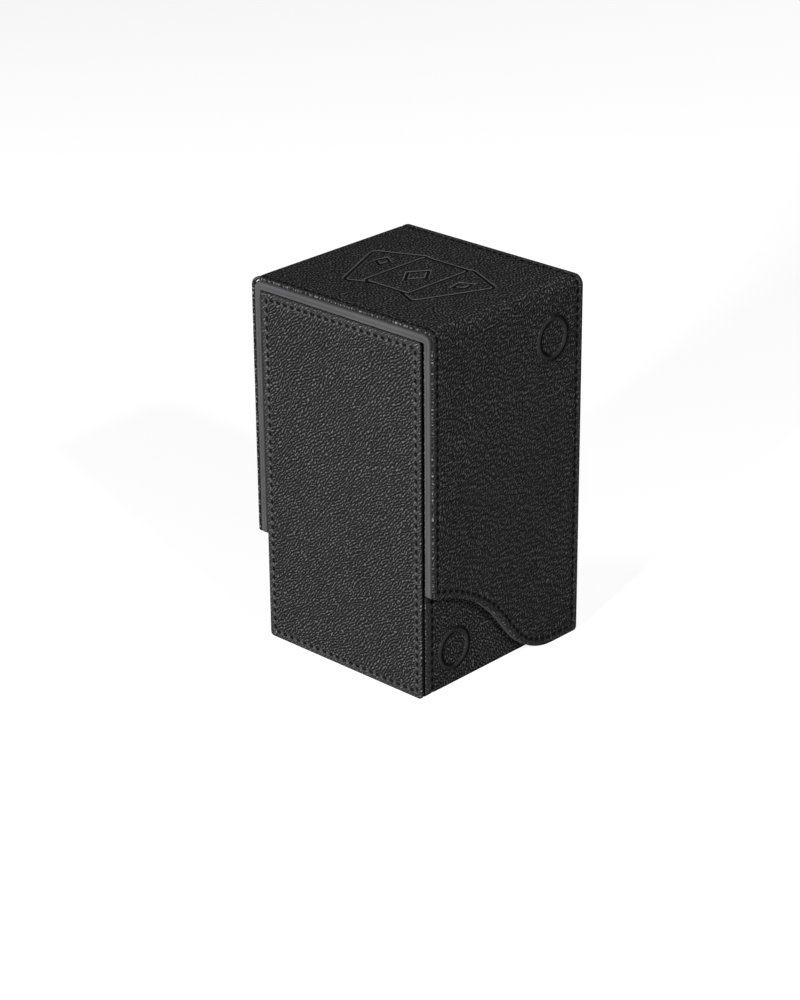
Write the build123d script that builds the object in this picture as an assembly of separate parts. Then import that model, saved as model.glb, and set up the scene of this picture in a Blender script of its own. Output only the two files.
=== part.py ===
from build123d import *
import os
from math import cos, radians, sin

# Upright deck box: an open-topped base and a lift-off lid shaped like an upside-down U.
# Millimetres. +Z is up, the front panel faces -Y, the origin is the middle of the underside.

# ---- overall sizes ----
box_width = 82.0
box_depth = 75.0
box_height = 132.0

# ---- fit between lid and base ----
side_gap = 1.2
rim_gap = 0.3
lid_setback = 0.5
flap_floor_gap = 0.5

# ---- lid layers, outside to inside ----
lid_skin_thickness = 1.0
flap_board_thickness = 2.0
top_board_thickness = 2.4
lid_lining_thickness = 0.8
lid_edge_turn = 1.2
lid_fold_radius = 3.4

# ---- base layers, outside to inside ----
panel_skin_thickness = 1.2
wrap_skin_thickness = 0.9
base_board_thickness = 1.8
base_lining_thickness = 0.5
corner_groove = 0.9
rim_turn = 0.8
rim_lining_step = 0.3
base_fold_radius = 1.5
panel_edge_radius = 0.5

# ---- curved lower edge of each flap, front to back ----
flap_front_height = 38.4
shoulder_slope = 9.5
curve_slope = 52.0
shoulder_radius = 56.0
foot_radius = 26.0
flap_corner_radius = 1.3

# ---- magnets and the rings pressed up over them ----
magnet_diameter = 12.0
magnet_clearance = 0.2
magnet_side_inset = 16.0
magnet_rim_inset = 13.5
ring_width = 1.6
ring_height = 0.2

# ---- stitching ----
thread_width = 0.5
thread_depth = 0.35
panel_stitch_inset = 2.0
wrap_stitch_inset = 3.3
lid_stitch_inset = 2.2
stitch_corner_radius = 1.0

# ---- emblem pressed into the top: three blank cards held as a fan ----
emblem_card_width = 21.0
emblem_card_height = 31.0
emblem_line = 1.0
emblem_depth = 0.3
emblem_fan_angle = 24.0
emblem_fan_shift = 12.5

# ---- derived sizes ----
lid_wall = lid_skin_thickness + flap_board_thickness + lid_lining_thickness
lid_top = lid_skin_thickness + top_board_thickness + lid_lining_thickness
lid_x = box_width / 2
lid_y = box_depth / 2 - lid_setback
base_x = lid_x - lid_wall - side_gap
base_y = box_depth / 2
base_top = box_height - lid_top - rim_gap

wrap_y = base_y - panel_skin_thickness - corner_groove
board_x = base_x - wrap_skin_thickness
board_y = base_y - panel_skin_thickness
board_top = base_top - rim_turn
side_board_x = board_x - base_board_thickness
side_board_y = board_y - base_board_thickness
well_x = side_board_x - base_lining_thickness
well_y = side_board_y - base_lining_thickness
floor_board_top = wrap_skin_thickness + base_board_thickness
well_floor = floor_board_top + base_lining_thickness
lining_top = base_top - rim_lining_step
inner_fold_radius = base_fold_radius - wrap_skin_thickness

magnet_y = base_y - magnet_side_inset
magnet_low = magnet_rim_inset
magnet_high = base_top - magnet_rim_inset
ring_inner_radius = magnet_diameter / 2
ring_outer_radius = ring_inner_radius + ring_width
far = 2 * box_height

pieces = {}


def block(x0, x1, y0, y1, z0, z1):
    """A plain block between two corners."""
    shape = Box(x1 - x0, y1 - y0, z1 - z0)
    return Pos((x0 + x1) / 2, (y0 + y1) / 2, (z0 + z1) / 2) * shape


def tub(half_width, y0, y1, z0, z1, radius):
    """A block across the box whose two lower side corners are rounded."""
    shape = block(-half_width, half_width, y0, y1, z0, z1)
    corners = shape.edges().filter_by(Axis.Y).group_by(Axis.Z)[0]
    return fillet(corners, radius)


def arch(half_width, z1, radius):
    """A tall block across the lid whose two upper side corners are rounded."""
    shape = block(-half_width, half_width, -lid_y - 5, lid_y + 5, -20, z1)
    corners = shape.edges().filter_by(Axis.Y).group_by(Axis.Z)[-1]
    return fillet(corners, radius)


def disc(radius, x0, x1, y, z):
    """A round disc lying against a side wall, its axis along X."""
    turned = Rot(0, 90, 0) * Cylinder(radius, abs(x1 - x0))
    return Pos((x0 + x1) / 2, y, z) * turned


def ring(x0, x1, y, z):
    """The ring pressed up in the skin over a magnet."""
    return disc(ring_outer_radius, x0, x1, y, z) - disc(ring_inner_radius, x0 - 1, x1 + 1, y, z)


# ---- base: boards ----
for name, side in (("front", -1), ("back", 1)):
    inner, outer = sorted((side * side_board_y, side * board_y))
    board = tub(board_x, inner, outer, wrap_skin_thickness, board_top, inner_fold_radius)
    pieces[f"base_{name}_board"] = board

side_layer = tub(
    board_x, -side_board_y, side_board_y, wrap_skin_thickness, board_top, inner_fold_radius
)
pocket_radius = magnet_diameter / 2 + magnet_clearance
for name, side in (("left", -1), ("right", 1)):
    inner, outer = sorted((side * side_board_x, side * board_x))
    board = side_layer & block(inner, outer, -far, far, -far, far)
    for place, y, z in (("front", -magnet_y, magnet_low), ("rear", magnet_y, magnet_high)):
        board = board - disc(pocket_radius, inner - 1, outer + 1, y, z)
        magnet = disc(magnet_diameter / 2, inner, outer, y, z)
        pieces[f"base_{place}_{name}_magnet"] = magnet
    pieces[f"base_{name}_board"] = board

pieces["base_bottom_board"] = block(
    -side_board_x, side_board_x, -side_board_y, side_board_y, wrap_skin_thickness, floor_board_top
)

# ---- base: covering, one sheet round left side, bottom and right side ----
wrap = tub(base_x, -wrap_y, wrap_y, 0, base_top, base_fold_radius)
wrap = wrap - tub(board_x, -far, far, wrap_skin_thickness, far, inner_fold_radius)
for side in (-1, 1):
    inner, outer = sorted((side * side_board_x, side * board_x))
    wrap = wrap + block(inner, outer, -side_board_y, side_board_y, board_top, base_top)
    for y, z in ((-magnet_y, magnet_low), (magnet_y, magnet_high)):
        low, high = sorted((side * base_x, side * (base_x + ring_height)))
        wrap = wrap + ring(low, high, y, z)

# its two edge seams, each running down one side, under the bottom and up the other
seam_layer = tub(base_x, -wrap_y, wrap_y, 0, far, base_fold_radius) - tub(
    base_x - thread_depth, -far, far, thread_depth, far, base_fold_radius - thread_depth
)
seam_far = wrap_y - wrap_stitch_inset
seam_near = seam_far - thread_width
for name, side in (("front", -1), ("rear", 1)):
    inner, outer = sorted((side * seam_near, side * seam_far))
    seam = seam_layer & block(-far, far, inner, outer, -1, base_top - panel_stitch_inset)
    pieces[f"base_wrap_{name}_thread"] = seam
    wrap = wrap - seam
pieces["base_wrap_skin"] = wrap

# ---- base: front and back panels, each sewn all the way round ----
panel_face = RectangleRounded(2 * base_x, base_top, panel_edge_radius)
seam_width = 2 * (base_x - panel_stitch_inset)
seam_height = base_top - 2 * panel_stitch_inset
seam_face = RectangleRounded(seam_width, seam_height, stitch_corner_radius + thread_width)
seam_face = seam_face - RectangleRounded(
    seam_width - 2 * thread_width, seam_height - 2 * thread_width, stitch_corner_radius
)
for name, side in (("front", -1), ("back", 1)):
    outer_face = Plane((0, side * base_y, base_top / 2), x_dir=(1, 0, 0), z_dir=(0, side, 0))
    panel = extrude(outer_face * panel_face, -panel_skin_thickness)
    inner, outer = sorted((side * side_board_y, side * board_y))
    panel = panel + block(-board_x, board_x, inner, outer, board_top, base_top)
    thread = extrude(outer_face * seam_face, -thread_depth)
    pieces[f"base_{name}_thread"] = thread
    pieces[f"base_{name}_skin"] = panel - thread

# ---- base: lining ----
wrap_lining = block(
    -side_board_x, side_board_x, -side_board_y, side_board_y, floor_board_top, lining_top
)
wrap_lining = wrap_lining - block(-well_x, well_x, -far, far, well_floor, far)
pieces["base_wrap_lining"] = wrap_lining
for name, side in (("front", -1), ("back", 1)):
    inner, outer = sorted((side * well_y, side * side_board_y))
    lining = block(-well_x, well_x, inner, outer, well_floor, lining_top)
    pieces[f"base_{name}_lining"] = lining

# ---- lid: side outline, everything above the curved lower edge of the flaps ----
shoulder_drop = shoulder_radius * (cos(radians(shoulder_slope)) - cos(radians(curve_slope)))
foot_drop = foot_radius * (1 - cos(radians(curve_slope)))
straight_drop = flap_front_height - flap_floor_gap - shoulder_drop - foot_drop
straight_length = straight_drop / sin(radians(curve_slope))
slope_x = cos(radians(curve_slope))
slope_y = -sin(radians(curve_slope))

start = Vector(-lid_y, flap_front_height)
start_way = (cos(radians(shoulder_slope)), -sin(radians(shoulder_slope)))
shoulder = JernArc(start, start_way, shoulder_radius, shoulder_slope - curve_slope)
straight_end = (shoulder @ 1) + Vector(slope_x, slope_y) * straight_length
straight = Line(shoulder @ 1, straight_end)
foot = JernArc(straight_end, (slope_x, slope_y), foot_radius, curve_slope)
closing = Polyline(
    foot @ 1,
    (lid_y, flap_floor_gap),
    (lid_y, far),
    (-lid_y, far),
    start,
)
outline = make_face(Curve() + [shoulder, straight, foot, closing])
low_corners = [v for v in outline.vertices() if abs(abs(v.X) - lid_y) < 0.01 and v.Y < far / 2]
outline = fillet(low_corners, flap_corner_radius)


def flap_region(inset):
    """The space inside the side outline, drawn in by a margin, right across the lid."""
    face = outline
    if inset > 0:
        face = offset(outline, -inset)
    return extrude(Plane.YZ * face, box_width, both=True)


# ---- lid: boards ----
board_out_x = lid_x - lid_skin_thickness
board_out_z = box_height - lid_skin_thickness
board_in_x = board_out_x - flap_board_thickness
board_in_z = board_out_z - top_board_thickness
lining_x = lid_x - lid_wall
lining_z = box_height - lid_top

board_space = arch(board_out_x, board_out_z, lid_fold_radius - lid_skin_thickness)
board_space = board_space - block(-board_in_x, board_in_x, -far, far, -far, board_in_z)
board_space = board_space & flap_region(lid_edge_turn)

reach = 4
mitre_x = board_in_x + reach * flap_board_thickness
mitre_z = board_in_z + reach * top_board_thickness
top_wedge = Plane.XZ * make_face(
    Polyline(
        (-board_in_x, board_in_z),
        (board_in_x, board_in_z),
        (mitre_x, mitre_z),
        (-mitre_x, mitre_z),
        (-board_in_x, board_in_z),
    )
)
top_wedge = extrude(top_wedge, far, both=True)
lid_boards = {"top": board_space & top_wedge}
for name, side in (("left", -1), ("right", 1)):
    half = block(*sorted((0, side * far)), -far, far, -far, far)
    lid_boards[name] = (board_space - top_wedge) & half

# ---- lid: covering and lining ----
inner_arch = arch(board_out_x, board_out_z, lid_fold_radius - lid_skin_thickness)
outer_arch = arch(lid_x, box_height, lid_fold_radius)
whole_lid = (outer_arch & flap_region(0)) - block(-lining_x, lining_x, -far, far, -far, lining_z)
lid_lining = (whole_lid & inner_arch) - board_space
lid_skin = whole_lid - inner_arch

stitch_band = flap_region(lid_stitch_inset) - flap_region(lid_stitch_inset + thread_width)
seam_arch = arch(lid_x - thread_depth, box_height - thread_depth, lid_fold_radius - thread_depth)
lid_thread = (outer_arch - seam_arch) & stitch_band
lid_skin = lid_skin - lid_thread

for name, side in (("left", -1), ("right", 1)):
    inner, outer = sorted((side * board_in_x, side * board_out_x))
    lid_boards[name] = lid_boards[name] - disc(
        pocket_radius, inner - 1, outer + 1, magnet_y, magnet_high
    )
    pieces[f"lid_{name}_magnet"] = disc(magnet_diameter / 2, inner, outer, magnet_y, magnet_high)
    low, high = sorted((side * lid_x, side * (lid_x + ring_height)))
    lid_skin = lid_skin + ring(low, high, magnet_y, magnet_high)

# ---- lid: emblem of three blank cards, the middle one lying over the other two ----
card = RectangleRounded(emblem_card_width, emblem_card_height, 2.0)
card_hole = RectangleRounded(
    emblem_card_width - 2 * emblem_line, emblem_card_height - 2 * emblem_line, 1.2
)
card_line = card - card_hole
emblem = card_line
for side in (-1, 1):
    place = Pos(side * emblem_fan_shift, -1.5) * Rot(0, 0, -side * emblem_fan_angle)
    emblem = emblem + (place * card_line - card)
emblem_cut = extrude(Pos(0, 0, box_height) * emblem, -emblem_depth)
lid_skin = lid_skin - emblem_cut

pieces["lid_top_board"] = lid_boards["top"]
pieces["lid_left_board"] = lid_boards["left"]
pieces["lid_right_board"] = lid_boards["right"]
pieces["lid_skin"] = lid_skin
pieces["lid_lining"] = lid_lining
pieces["lid_thread"] = lid_thread

# ---- write every piece ----
os.makedirs("parts", exist_ok=True)
for name, shape in pieces.items():
    solids = shape.solids()
    piece = solids[0] if len(solids) == 1 else Compound(children=list(solids))
    piece.label = name
    export_step(piece, f"parts/{name}.step")
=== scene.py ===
"""Card deck box: the covering, lining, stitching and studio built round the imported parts."""

import math

import bpy
import numpy as np
from bpy.props import FloatProperty, FloatVectorProperty, IntProperty, PointerProperty
from mathutils import Matrix, Vector


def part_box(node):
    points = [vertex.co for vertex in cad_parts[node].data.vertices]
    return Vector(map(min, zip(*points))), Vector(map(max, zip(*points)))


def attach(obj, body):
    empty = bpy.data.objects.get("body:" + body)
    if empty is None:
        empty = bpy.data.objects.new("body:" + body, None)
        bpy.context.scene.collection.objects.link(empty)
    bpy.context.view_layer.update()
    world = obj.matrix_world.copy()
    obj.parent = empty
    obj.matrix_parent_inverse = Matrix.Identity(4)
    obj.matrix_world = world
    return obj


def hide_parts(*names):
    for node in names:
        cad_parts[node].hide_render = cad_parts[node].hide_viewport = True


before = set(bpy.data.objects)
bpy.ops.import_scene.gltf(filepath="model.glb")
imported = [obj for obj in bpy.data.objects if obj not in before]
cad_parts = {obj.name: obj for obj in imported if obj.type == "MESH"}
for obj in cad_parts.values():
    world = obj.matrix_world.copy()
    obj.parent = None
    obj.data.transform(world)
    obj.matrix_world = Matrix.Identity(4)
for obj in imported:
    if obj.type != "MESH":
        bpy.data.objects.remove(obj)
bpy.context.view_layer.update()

bl_info = {
    "name": "Card Deck Box",
    "version": (1, 0, 0),
    "blender": (4, 5, 0),
    "location": "3D View > Sidebar > Deck Box",
    "description": "Leatherette covering, lining, stitching and studio for a card deck box",
    "category": "Object",
}

MM = 0.001
FAR = 1e3  # mm, a distance with no edge near
RIM_TURN = 0.7  # mm, radius at which a covering turns in over the rim
FINE, MEDIUM = 0.53, 0.58  # mm between the points of a sheet
SUNK = -0.38  # mm from the sheet's face to the middle of a stitch
SEAM_POINTS = 200  # on each straight run of a seam line
WRAP_SEAM_POINTS = 900
lid_seam_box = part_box("lid_thread")
lid_skin_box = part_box("lid_skin")
panel_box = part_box("base_front_skin")
wrap_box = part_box("base_wrap_skin")
side_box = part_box("base_right_board")
well_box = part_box("base_front_lining")


# ---------------------------------------------------------------- settings


def length(label, text, default):
    return FloatProperty(name=label, description=text, default=default, unit="LENGTH", precision=5)


def angle(label, text, degrees):
    turn = math.radians(degrees)
    return FloatProperty(name=label, description=text, default=turn, subtype="ANGLE")


def power(label, text, watts):
    return FloatProperty(name=label, description=text, default=watts, unit="POWER")


def tint(label, text, default):
    return FloatVectorProperty(
        name=label, description=text, default=default, subtype="COLOR", size=3, min=0, max=1
    )


class DeckBoxLid(bpy.types.PropertyGroup):
    half_width: length("Half width", "From the middle to the outside of a flap", lid_seam_box[1].x)
    half_depth: length("Half depth", "From the middle to the lid's front edge", lid_skin_box[1].y)
    top: length("Top", "Height of the outside of the top", lid_skin_box[1].z)
    fold: length("Fold radius", "Outside radius where the top turns into a flap", 0.0034)
    wall: length("Flap thickness", "Covering, board and lining together", 0.0038)
    roof: length("Top thickness", "Covering, board and lining together", 0.0042)
    skin: length("Covering thickness", "Leatherette at the edge of the lid", 0.0010)
    front_height: length("Short end height", "Height of a flap's lower edge at the front", 0.0384)
    floor_gap: length("Long end height", "Height of a flap's lower edge at the back", 0.0005)
    shoulder_radius: length("Shoulder radius", "Radius of the curve's upper bend", 0.056)
    foot_radius: length("Foot radius", "Radius of the curve's lower bend", 0.026)
    shoulder_slope: angle("Shoulder slope", "Slope of the curve at the front edge", 9.5)
    curve_slope: angle("Curve slope", "Slope of the curve between its two bends", 52)


class DeckBoxBase(bpy.types.PropertyGroup):
    half_width: length("Half width", "From the middle to the outside of a wall", panel_box[1].x)
    panel_face: length("Panel face", "From the middle to the face of a panel", -panel_box[0].y)
    rim: length("Rim height", "Height of the open rim", panel_box[1].z)
    wrap_edge: length("Wrap edge", "From the middle to the wrapped sheet's edge", wrap_box[1].y)
    fold: length("Fold radius", "Radius where a side turns under the bottom", 0.0015)
    rim_x: length("Inner rim, side", "From the middle to a side wall's inner rim", side_box[0].x)
    rim_y: length("Inner rim, panel", "From the middle to a panel's inner rim", -well_box[0].y)
    well_x: length("Well half width", "From the middle to a side lining", well_box[1].x)
    well_y: length("Well half depth", "From the middle to a panel lining", -well_box[1].y)
    well_floor: length("Well floor", "Height of the lining on the floor", well_box[0].z)
    lining_top: length("Lining top", "Height of the lining's upper edge", well_box[1].z)


class DeckBoxSeams(bpy.types.PropertyGroup):
    pitch: length("Stitch pitch", "From one stitch to the next", 0.00317)
    stitch: length("Stitch length", "The part of each stitch that shows", 0.00165)
    thickness: length("Thread thickness", "Diameter of the sewing thread", 0.00080)
    dimple: length("Dimple depth", "How far each stitch draws the covering down", 0.00050)
    lid_inset: length("Lid seam inset", "From the lid's edge to its seam", 0.00245)
    panel_inset: length("Panel seam inset", "From a panel's edge to its seam", 0.00225)
    wrap_inset: length("Wrap seam inset", "From the wrapped sheet's edge to its seam", 0.00355)


class DeckBoxEmboss(bpy.types.PropertyGroup):
    ring_inner: length("Ring inner radius", "Inside of the ring over a magnet", 0.0060)
    ring_outer: length("Ring outer radius", "Outside of the ring over a magnet", 0.0076)
    ring_height: length("Ring height", "How far the ring stands up", 0.00030)
    ring_y: length("Ring place", "From the middle to a ring, front to back", 0.0215)
    ring_high: length("High ring height", "Height of the upper rings", 0.1140)
    ring_low: length("Low ring height", "Height of the lower rings", 0.0135)
    card_width: length("Card width", "Width of each card in the emblem", 0.0210)
    card_height: length("Card height", "Height of each card in the emblem", 0.0310)
    fan_shift: length("Fan shift", "How far the outer cards stand to the side", 0.0125)
    line: length("Line width", "Width of the emblem's pressed lines", 0.0010)
    depth: length("Line depth", "Depth of the emblem's pressed lines", 0.00055)
    fan_angle: angle("Fan angle", "Lean of the outer cards", 24)


class DeckBoxFinish(bpy.types.PropertyGroup):
    leather: tint("Leatherette", "Raised grain of the covering", (0.046, 0.046, 0.047))
    # Painted shade: near-black colour put into the grain's creases, where shade falls.
    crease: tint("Leatherette crease", "Between the pebbles", (0.0028, 0.0028, 0.0028))
    edging: tint("Lid lining", "Smooth lining turned over the lid's edge", (0.029, 0.029, 0.030))
    well: tint("Well lining", "Microfibre inside the base", (0.040, 0.040, 0.043))
    board: tint("Greyboard", "Board inside the walls", (0.36, 0.34, 0.31))
    nickel: tint("Nickel", "Plating on the magnets", (0.66, 0.63, 0.58))
    thread: tint("Thread", "Sewing thread", (0.0014, 0.0014, 0.0015))
    cell: length("Pebble size", "Distance across one pebble of the grain", 0.00104)


class DeckBoxStage(bpy.types.PropertyGroup):
    lens: FloatProperty(
        name="Lens", description="Focal length", default=102.14, subtype="DISTANCE_CAMERA"
    )
    azimuth: angle("Azimuth", "Camera's turn round the box", 43.417)
    elevation: angle("Elevation", "Camera's height angle", 24.242)
    roll: angle("Roll", "Camera's roll", -0.484)
    place: FloatVectorProperty(
        name="Camera place", description="Camera position", default=(0.60691, -0.65058, 0.45075),
        subtype="TRANSLATION", unit="LENGTH", size=3,
    )
    floor: tint("Floor", "Colour of the floor", (0.30, 0.30, 0.30))
    glow: FloatProperty(
        name="Floor glow", description="Light from under the floor", default=0.70, min=0
    )
    sky: FloatProperty(name="Room light", description="Light from all round", default=0.06, min=0)
    key: power("Key light", "Front softbox", 76.0)
    side: power("Side light", "Small high right softbox", 31.0)
    fill: power("Fill light", "Left softbox", 14.0)
    rim: power("Back light", "Back softbox", 3.0)
    seed: IntProperty(name="Seed", description="Seed for the lean of the stitches", default=11)


class DeckBoxSettings(bpy.types.PropertyGroup):
    lid: PointerProperty(type=DeckBoxLid, name="Lid", description="Lid sizes")
    base: PointerProperty(type=DeckBoxBase, name="Base", description="Base sizes")
    seams: PointerProperty(type=DeckBoxSeams, name="Seams", description="Stitching")
    emboss: PointerProperty(type=DeckBoxEmboss, name="Emboss", description="Rings and emblem")
    finish: PointerProperty(type=DeckBoxFinish, name="Finish", description="Colours and grain")
    stage: PointerProperty(type=DeckBoxStage, name="Stage", description="Camera, floor and lights")


class Sizes:
    """A settings group read in millimetres."""

    def __init__(self, group):
        self.group = group

    def __getattr__(self, key):
        return getattr(self.group, key) / MM


# ---------------------------------------------------------------- flat sheets laid along a course


def ease(low, high, x):
    t = np.clip((x - low) / (high - low), 0, 1)
    return t * t * (3 - 2 * t)


def hump(x, width):
    return np.exp(-((x / width) ** 2))


def left_of(way):
    return np.array([-math.sin(way), math.cos(way)])


class Course:
    """Straight runs and round bends that a sheet follows, with the side that its face is on."""

    def __init__(self, start, heading, legs, face, across="y", mirror=1):
        self.face = face
        self.across = across
        self.mirror = mirror
        self.legs = []
        place = np.array(start, float)
        way = math.radians(heading)
        at = 0.0
        for size, turn in legs:
            span = abs(math.radians(turn)) * size if turn else size
            self.legs.append((at, at + span, place.copy(), way, size, turn))
            if turn:
                side = math.copysign(1, turn)
                centre = place + size * side * left_of(way)
                way += math.radians(turn)
                place = centre - size * side * left_of(way)
            else:
                place = place + size * np.array([math.cos(way), math.sin(way)])
            at += span
        self.length = at

    def at(self, p):
        """Places and outward normals, in the plane that the course is drawn in."""
        p = np.asarray(p, float)
        place = np.zeros(p.shape + (2,))
        way = np.zeros(p.shape)
        last = len(self.legs) - 1
        for k, (low, high, start, heading, size, turn) in enumerate(self.legs):
            inside = (p >= low if k else p > -1e9) & (p < high if k < last else p < 1e9)
            q = p[inside] - low
            if turn:
                side = math.copysign(1, turn)
                centre = start + size * side * left_of(heading)
                w = heading + side * q / size
                place[inside] = centre - size * side * np.stack([-np.sin(w), np.cos(w)], -1)
            else:
                w = np.full(q.shape, heading)
                place[inside] = start + q[:, None] * [math.cos(heading), math.sin(heading)]
            way[inside] = w
        normal = np.stack([-np.sin(way), np.cos(way)], -1) * self.face
        return place, normal

    def solid(self, p, w, h):
        """Points in space, in metres, for places (p, w) on the flat sheet raised by h."""
        place, normal = self.at(p)
        spot = place + normal * np.asarray(h)[..., None]
        w = np.broadcast_to(w, spot.shape[:-1])
        if self.across == "y":
            return np.stack([spot[..., 0], w, spot[..., 1]], -1) * MM
        return np.stack([w, spot[..., 0] * self.mirror, spot[..., 1]], -1) * MM


def edge_steps(seam, roll):
    """Distances from a sheet's rolled edge inwards, close together where the seam runs."""
    steps = [0, 0.25, 0.55, 0.9]
    near = [-0.8, -0.55, -0.35, -0.18, 0, 0.18, 0.35, 0.55, 0.8, 1.15, 1.6]
    first = seam - roll + near[0]
    extra = max(0, round((first - 0.9) / 0.45) - 1)
    steps += [0.9 + (first - 0.9) * (k + 1) / (extra + 1) for k in range(extra)]
    steps += [seam - roll + n for n in near]
    return np.array(steps)


def graded(low, high, steps, spacing):
    """Steps from both ends with an even spacing between them."""
    inner_low, inner_high = low + steps[-1], high - steps[-1]
    count = max(2, round((inner_high - inner_low) / spacing))
    middle = np.linspace(inner_low, inner_high, count + 1)[1:-1]
    return np.concatenate([low + steps, middle, (high - steps)[::-1]])


def round_corner(a, b, radius):
    """Distances from two edges, drawn in so that the corner between them is round."""
    near = (a < radius) & (b < radius)
    u = np.where(near, 1 - a / radius, 0)
    v = np.where(near, 1 - b / radius, 0)
    new_a = radius * (1 - u * np.sqrt(1 - v * v / 2))
    new_b = radius * (1 - v * np.sqrt(1 - u * u / 2))
    return np.where(near, new_a, a), np.where(near, new_b, b)


def edge_distance(a, b, radius):
    """Distance to the nearer of two edges, following a round corner."""
    near = (a < radius) & (b < radius)
    corner = radius - np.hypot(radius - a, radius - b)
    return np.where(near, corner, np.minimum(a, b))


def mesh_object(name, points, faces, material, body):
    mesh = bpy.data.meshes.new(name)
    mesh.from_pydata([tuple(p) for p in points], [], [tuple(f) for f in faces])
    mesh.update()
    mesh.polygons.foreach_set("use_smooth", np.ones(len(mesh.polygons), bool))
    mesh.materials.append(material)
    piece = bpy.data.objects.new(name, mesh)
    bpy.context.scene.collection.objects.link(piece)
    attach(piece, body)
    return piece


def keep_on_points(mesh, name, values):
    values = np.asarray(values, np.float32)
    kind = "FLOAT_VECTOR" if values.ndim == 2 else "FLOAT"
    layer = mesh.attributes.new(name, kind, "POINT")
    layer.data.foreach_set("vector" if values.ndim == 2 else "value", values.ravel())


def outward(loop):
    """Mitred outward steps round a closed anticlockwise loop of flat points."""
    ahead = np.roll(loop, -1, 0) - loop
    ahead /= np.maximum(np.linalg.norm(ahead, axis=1, keepdims=True), 1e-9)
    n = np.stack([ahead[:, 1], -ahead[:, 0]], 1)
    before = np.roll(n, 1, 0)
    share = 1 + (n * before).sum(1, keepdims=True)
    return (n + before) / np.maximum(share, 0.5)


def sheet_grid(p, w):
    """Flat points at every p along the course and every w across it."""
    return np.stack(np.meshgrid(p, w, indexing="ij"), -1)


def both_ways(half, length):
    """Steps along the first half of a course, and the same steps back from its end."""
    return np.concatenate([half, length - half[-2::-1]])


def quads(a, b, c, d):
    return np.stack([a, b, c, d], -1).reshape(-1, 4)


PLAIN_MASKS = {"flattened": 0.0, "dimple": 0.0, "ring_gap": 1.0, "line_gap": 1.0,
               "painted_edge_highlight": 0.0, "shade": 0.0, "ring_turn": 0.0}


def lay_sheet(name, course, flat, height, masks, profile, finish, origin=(0, 0), end_profile=None,
              depth_scale=None, pinch=None, shade=None):
    """A sheet from a flat grid, its relief and a profile that its edge follows all the way round.

    profile lists how far each further loop lies out and down from the grid's edge. end_profile,
    of the same length, is used on the two ends of the course, and the long edges use profile.
    depth_scale stretches the profile's depth, pinch draws it in, and shade darkens its loops.
    """
    material, body, slot = finish
    ni, nj = flat.shape[:2]
    index = np.arange(ni * nj).reshape(ni, nj)
    ring = np.concatenate([index[:, 0], index[-1, 1:], index[-2::-1, -1], index[0, -2:0:-1]])
    is_end = np.zeros(len(ring))
    is_end[ni:ni + nj - 2] = 1
    is_end[2 * ni + nj - 2:] = 1
    points_flat = flat.reshape(-1, 2)
    loop = points_flat[ring]
    step = outward(loop)
    loop_height = height.reshape(-1)[ring]
    rows_flat, rows_height = [points_flat], [height.reshape(-1)]
    masks = {k: masks.get(k, np.full(flat.shape[:2], v)) for k, v in PLAIN_MASKS.items()}
    rows_mask = {k: [v.reshape(-1)] for k, v in masks.items()}
    down_scale = np.ones(len(ring)) if depth_scale is None else depth_scale(loop[:, 0])
    previous = ring
    faces = [quads(index[:-1, :-1], index[1:, :-1], index[1:, 1:], index[:-1, 1:])]
    start = ni * nj
    for k, (out, down) in enumerate(profile):
        out_k = np.full(len(ring), out)
        down_k = down * down_scale
        if end_profile is not None:
            out_k = np.where(is_end > 0, end_profile[k][0], out_k)
            down_k = np.where(is_end > 0, end_profile[k][1] * down_scale, down_k)
        if pinch is not None:
            out_k = out_k - pinch(loop[:, 0], out, down)
        fade = max(0.0, 1 - k / 3)
        rows_flat.append(loop + step * out_k[:, None])
        rows_height.append(loop_height * fade + down_k)
        for key in rows_mask:
            rim = rows_mask[key][0][ring]
            if key == "flattened":
                rim = rim * fade * 0.5
            # Painted highlight: the rolled edge's loops get a lighter colour on the leatherette,
            # standing in for the gloss along the edge.
            elif key == "painted_edge_highlight":
                rim = rim + hump(k - 2.5, 2.0)
            elif key == "shade" and shade is not None:
                rim = rim + shade(k, -down, is_end)
            rows_mask[key].append(rim)
        fresh = start + np.arange(len(ring))
        faces.append(quads(previous, fresh, np.roll(fresh, -1), np.roll(previous, -1)))
        previous = fresh
        start += len(ring)
    all_flat = np.concatenate(rows_flat)
    all_height = np.concatenate(rows_height)
    points = course.solid(all_flat[:, 0], all_flat[:, 1], all_height)
    faces = np.concatenate(faces)
    a, b, c = (points[faces[0, k]] for k in (0, 1, 3))
    lifted = course.solid(flat[0, 0, :1], flat[0, 0, 1:], np.ones(1))[0]
    if np.dot(np.cross(b - a, c - a), lifted - a) < 0:
        faces = faces[:, ::-1]
    piece = mesh_object(name, points, faces, material, body)
    places = np.zeros((len(points), 3))
    sides = np.concatenate([np.zeros(ni * nj)] + [np.full(len(ring), -down) for _, down in profile])
    places[:, :2] = (all_flat + origin) * MM
    places[:, 2] = sides * MM
    keep_on_points(piece.data, "sheet_place", places)
    for key, rows in rows_mask.items():
        keep_on_points(piece.data, key, np.concatenate(rows))
    return piece


# ---------------------------------------------------------------- seams


def spaced_along(points, pitch, closed):
    """Evenly spaced places and directions along a flat line of points."""
    if closed:
        points = np.concatenate([points, points[:1]])
    parts = np.linalg.norm(np.diff(points, axis=0), axis=1)
    run = np.concatenate([[0], np.cumsum(parts)])
    count = max(2, round(run[-1] / pitch))
    at = (np.arange(count) + 0.5) * run[-1] / count

    def spot(distance):
        return np.stack([np.interp(distance, run, points[:, k]) for k in (0, 1)], 1)

    way = spot(np.minimum(at + 0.4, run[-1])) - spot(np.maximum(at - 0.4, 0))
    return spot(at), way / np.linalg.norm(way, axis=1, keepdims=True)


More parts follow.
